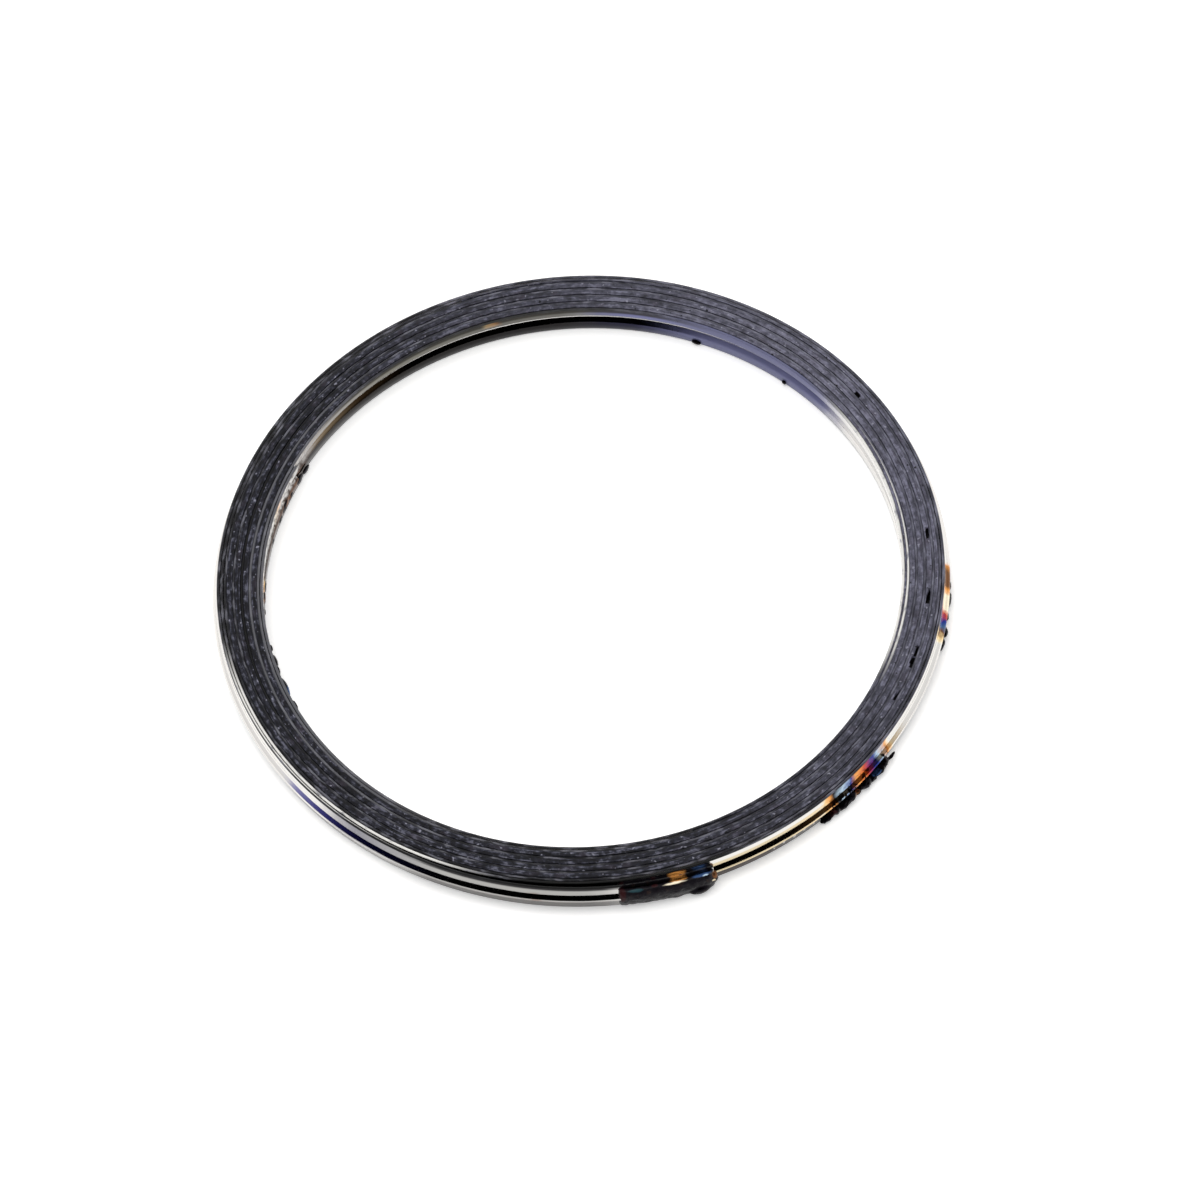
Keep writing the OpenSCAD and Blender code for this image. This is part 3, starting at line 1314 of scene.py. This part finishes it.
    def dress(
        self,
        strip: bpy.types.Object,
        beads: list[bpy.types.Object],
        steel: bpy.types.Material,
        burnt: bpy.types.Material,
    ) -> bpy.types.Object:
        """Gives the strip and its welds their finishes and makes one piece of them.

        Args:
            strip: The wound strip.
            beads: Its weld beads.
            steel: Finish of the strip.
            burnt: Finish of the welds.

        Returns:
            The whole piece, in the place of the solid.
        """
        strip.data.materials.append(steel)
        for bead in beads:
            bead.data.materials.append(burnt)
        whole = Bench.join([strip, *beads], self.name)
        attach(whole, "root")
        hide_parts("hoop_strip")
        return whole


@dataclass(frozen=True)
class Pit:
    """A short hollow in the tape's upper face, where graphite has broken out."""

    angle: float
    radius: float
    span: float
    depth: float
    half_width: float = 0.13

    def holds(self, point: Vector) -> bool:
        """Says whether a point of the upper face lies in the hollow.

        Args:
            point: The point, in metres.

        Returns:
            True where it does.
        """
        angle = math.degrees(math.atan2(point.y, point.x))
        away = (angle - self.angle + HALF_TURN) % FULL_TURN - HALF_TURN
        across = (math.hypot(point.x, point.y) / MM - self.radius) / self.half_width
        return (2 * away / self.span) ** 2 + across**2 < 1.0


@dataclass
class GraphiteFiller:
    """The graphite tape between the turns, standing a little proud of the strip's edges."""

    winding: Winding
    ridge: Ridge
    pits: tuple[Pit, ...] = (
        Pit(330.0, 24.58, 1.4, 0.5),
        Pit(337.2, 24.56, 1.5, 0.5),
        Pit(339.2, 24.60, 1.5, 0.5),
        Pit(350.0, 24.58, 2.0, 0.5),
        Pit(2.6, 24.58, 1.0, 0.4),
        Pit(33.0, 24.58, 1.2, 0.4),
    )
    name: str = "wound_graphite_filler"
    step: float = 0.75
    face: float = 2.5
    shy: float = 0.03
    cuts: int = 3
    crown: float = 0.5
    roughness: float = 0.03
    grain: float = 0.35
    crease: float = 50.0

    def half(self, arc: int) -> bpy.types.Object:
        """Winds both walls of one half turn of the tape and bridges its faces.

        Args:
            arc: Number of the half turn of strip that it lies on.

        Returns:
            The mesh object.
        """
        clear = self.winding.filler_clearance
        inside = self.winding.half(arc, self.winding.strip_thickness + clear)
        outside = self.winding.half(arc + 2, -clear)
        line = [(0.0, self.shy)] + self.ridge.line()[1:-1] + [(0.0, self.face - self.shy)]
        obj = Bench.join(
            [inside.sweep("tape_inner", line, self.step), outside.sweep("tape_outer", line, self.step)],
            f"tape_{arc}",
        )
        self.bridge_face(obj, self.face - self.shy)
        self.bridge_face(obj, self.shy)
        return obj

    def bridge_face(self, obj: bpy.types.Object, height: float) -> None:
        """Bridges the two walls along one sealing face and crowns it.

        Args:
            obj: The tape's mesh object, in object mode.
            height: Height of the walls' edges on that face.
        """
        count = len(obj.data.vertices)
        level = height * MM
        bpy.ops.object.mode_set(mode="EDIT")
        bpy.ops.mesh.select_mode(type="EDGE")
        bpy.ops.mesh.select_all(action="DESELECT")
        bpy.ops.object.mode_set(mode="OBJECT")
        flat = [abs(vertex.co.z - level) < SAME_POINT for vertex in obj.data.vertices]
        for edge in obj.data.edges:
            edge.select = flat[edge.vertices[0]] and flat[edge.vertices[1]]
        bpy.ops.object.mode_set(mode="EDIT")
        bpy.ops.mesh.bridge_edge_loops(number_cuts=self.cuts, interpolation="LINEAR")
        bpy.ops.object.mode_set(mode="OBJECT")
        rise = self.shy if height > self.face / 2 else -self.shy
        bridged = set(range(count, len(obj.data.vertices)))
        Bench.move_points(obj, bridged, Vector((0.0, 0.0, rise * self.crown * MM)))

    def build(self) -> bpy.types.Object:
        """Makes the whole tape.

        Returns:
            The tape's mesh object.
        """
        first = self.winding.inner_bare_halves - 1
        halves = [self.half(arc) for arc in range(first, first + self.winding.filled_halves + 1)]
        obj = Bench.join(halves, self.name)
        Bench.close(obj)
        self.roughen(obj)
        Bench.smooth(obj, self.crease)
        return obj

    def roughen(self, obj: bpy.types.Object) -> None:
        """Makes both sealing faces uneven, as pressed graphite is, and breaks out the pits.

        Args:
            obj: The tape's mesh object.
        """
        low, high, slack = self.shy * MM, (self.face - self.shy) * MM, 1e-6
        faces = [v.index for v in obj.data.vertices if v.co.z > high + slack or v.co.z < low - slack]
        Bench.group_points(obj, Group.FACES, faces)
        Bench.displace(obj, Group.FACES, "Z", self.grain, self.roughness)
        for pit in self.pits:
            hollow = {v.index for v in obj.data.vertices if v.co.z > high - slack and pit.holds(v.co)}
            Bench.move_points(obj, hollow, Vector((0.0, 0.0, -pit.depth * MM)))

    def dress(self, obj: bpy.types.Object, graphite: bpy.types.Material) -> None:
        """Gives the tape its graphite and puts it in the place of the solid.

        Args:
            obj: The tape's mesh object.
            graphite: Finish of the tape.
        """
        obj.data.materials.append(graphite)
        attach(obj, "root")
        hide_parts("graphite_filler")


@dataclass
class Studio:
    """White floor, soft light and the camera."""

    unit: float = 25.5
    elevation: float = 56.741
    roll: float = 4.670
    distance: float = 31.714
    slide: float = 0.0461
    lift: float = -0.0211
    field: float = 6.0
    sensor: float = 36.0
    near: float = 0.005
    floor_size: float = 4.0
    floor_white: Colour = (0.9, 0.9, 0.9)
    floor_glow: float = 0.35
    world_light: float = 0.45
    card_radius: float = 350.0
    card_start: float = 188.0
    card_span: float = 164.0
    card_heights: tuple[float, float] = (4.0, 334.0)
    card_step: float = 4.0
    card_glow: tuple[Stop, ...] = (
        (0.00, (0.30, 0.30, 0.65)),
        (0.05, (0.05, 0.05, 0.25)),
        (0.13, (0.004, 0.004, 0.035)),
        (0.24, BLACK),
        (0.80, BLACK),
        (0.90, (0.10, 0.06, 0.03)),
        (1.00, (0.75, 0.60, 0.40)),
    )
    ceiling_size: float = 0.9
    ceiling_height: float = 0.335
    ceiling_glow: tuple[Stop, ...] = ((0.0, (0.06, 0.06, 0.07)), (1.0, (0.24, 0.24, 0.26)))

    def floor(self) -> None:
        """Lays a white floor that keeps the ring's shadow."""
        Bench.clear()
        bpy.ops.mesh.primitive_plane_add(size=self.floor_size)
        floor = bpy.context.object
        floor.name = "floor"
        nodes = Nodes("floor_white")
        nodes.feed("Base Color", self.floor_white)
        nodes.feed("Roughness", 1.0)
        nodes.feed("Specular IOR Level", 0.0)
        path = nodes.tree.nodes.new("ShaderNodeLightPath")
        seen = nodes.math("MAXIMUM", path.outputs["Is Camera Ray"], path.outputs["Is Glossy Ray"])
        seen = nodes.math("MAXIMUM", seen, path.outputs["Is Transmission Ray"])
        nodes.feed("Emission Color", WHITE)
        nodes.feed("Emission Strength", nodes.times(seen, self.floor_glow))
        floor.data.materials.append(nodes.material)

    def world(self) -> None:
        """Makes the surroundings white to look at and grey as a light."""
        world = bpy.data.worlds.new("studio")
        bpy.context.scene.world = world
        world.use_nodes = True
        tree = world.node_tree
        shader = tree.nodes["Background"]
        path = tree.nodes.new("ShaderNodeLightPath")
        camera = tree.nodes.new("ShaderNodeMath")
        camera.operation = "MAXIMUM"
        tree.links.new(path.outputs["Is Camera Ray"], camera.inputs[0])
        tree.links.new(path.outputs["Is Glossy Ray"], camera.inputs[1])
        level = tree.nodes.new("ShaderNodeMapRange")
        level.inputs["To Min"].default_value = self.world_light
        level.inputs["To Max"].default_value = 1.0
        tree.links.new(camera.outputs[0], level.inputs["Value"])
        tree.links.new(level.outputs["Result"], shader.inputs["Strength"])
        shader.inputs["Color"].default_value = (*WHITE, 1.0)

    def card(self) -> None:
        """Stands a dark card round the camera's side, which only reflections show."""
        round_front = Arc(Vector((0.0, 0.0, 0.0)), self.card_radius, self.card_start, self.card_span)
        line = [(0.0, height) for height in self.card_heights]
        card = round_front.sweep("dark_card", line, self.card_step)
        nodes = RingNodes("card_dark")
        past = nodes.math("SUBTRACT", nodes.angle, self.card_start)
        share = nodes.math("DIVIDE", past, self.card_span, clamp=True)
        self.hang(card, nodes, nodes.ramp(share, self.card_glow))

    def ceiling(self) -> None:
        """Hangs a ceiling that only reflections show, dark at the front and lit at the back right."""
        Bench.clear()
        height = Vector((0.0, 0.0, self.ceiling_height))
        bpy.ops.mesh.primitive_plane_add(size=self.ceiling_size, location=height)
        bpy.ops.object.transform_apply(location=True, rotation=True, scale=True)
        ceiling = bpy.context.object
        ceiling.name = "ceiling"
        nodes = RingNodes("ceiling_lit")
        across = nodes.times(nodes.x, 0.6)
        along = nodes.times(nodes.math("SUBTRACT", nodes.y, 220.0), 0.8)
        slope = nodes.math("ADD", nodes.math("ADD", across, along), 60.0)
        share = nodes.math("DIVIDE", slope, 120.0, clamp=True)
        self.hang(ceiling, nodes, nodes.ramp(share, self.ceiling_glow))

    def hang(self, card: bpy.types.Object, nodes: Nodes, glow: Socket) -> None:
        """Gives a card its glow and lets only reflections show it.

        Args:
            card: The card's mesh object.
            nodes: Nodes of its material.
            glow: Colour that it sends out.
        """
        nodes.feed("Base Color", BLACK)
        nodes.feed("Specular IOR Level", 0.0)
        nodes.feed("Emission Color", glow)
        nodes.feed("Emission Strength", 1.0)
        card.data.materials.append(nodes.material)
        card.visible_camera = False
        card.visible_diffuse = False
        card.visible_shadow = False
        card.visible_transmission = False

    def lamp(self, name: str, place: Vector, size: float, power: float, colour: Colour) -> None:
        """Hangs a square soft light that points at the ring.

        Args:
            name: Name of the light.
            place: Place, in metres.
            size: Side, in metres.
            power: Power, in watts.
            colour: Colour of the light.
        """
        light = bpy.data.lights.new(name, "AREA")
        light.shape = "SQUARE"
        light.size = size
        light.energy = power
        light.color = colour
        obj = bpy.data.objects.new(name, light)
        bpy.context.scene.collection.objects.link(obj)
        obj.location = place
        obj.rotation_euler = (-place).to_track_quat("-Z", "Y").to_euler()

    def camera(self) -> None:
        """Sets the camera where the ring is seen as it lies."""
        tilt, roll = math.radians(self.elevation), math.radians(self.roll)
        right = Vector((1.0, 0.0, 0.0))
        up = Vector((0.0, math.sin(tilt), math.cos(tilt)))
        forward = Vector((0.0, math.cos(tilt), -math.sin(tilt)))
        across = math.cos(roll) * right - math.sin(roll) * up
        upward = math.sin(roll) * right + math.cos(roll) * up
        place = self.unit * MM * (self.slide * right + self.lift * up - self.distance * forward)
        lens = bpy.data.cameras.new("camera")
        lens.sensor_width = self.sensor
        lens.lens = self.sensor / (2 * math.tan(math.radians(self.field / 2)))
        lens.clip_start = self.near
        obj = bpy.data.objects.new("camera", lens)
        bpy.context.scene.collection.objects.link(obj)
        axes = Matrix((across, upward, -forward)).transposed().to_4x4()
        obj.matrix_world = Matrix.Translation(place) @ axes
        bpy.context.scene.camera = obj

    def build(self) -> None:
        """Sets up everything round the ring."""
        bpy.context.scene.view_settings.view_transform = "Standard"
        self.floor()
        self.world()
        self.card()
        self.ceiling()
        self.lamp("overhead", Vector((-0.06, 0.06, 0.55)), 0.6, 2.7, (1.0, 0.99, 0.97))
        self.camera()


def main() -> None:
    """Builds the gasket's pieces and the studio."""
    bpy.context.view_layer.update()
    winding = Winding()
    strip = HoopStrip(winding, Ridge())
    wound, beads = strip.build()
    whole = strip.dress(wound, beads, StripSteel().make(), BurntSteel().make())
    LOG.info("%s: %d faces", whole.name, len(whole.data.polygons))
    filler = GraphiteFiller(winding, Ridge(steps=6))
    tape = filler.build()
    filler.dress(tape, FlexibleGraphite().make())
    LOG.info("%s: %d faces", tape.name, len(tape.data.polygons))
    Studio().build()


if __name__ == "__main__":
    main()
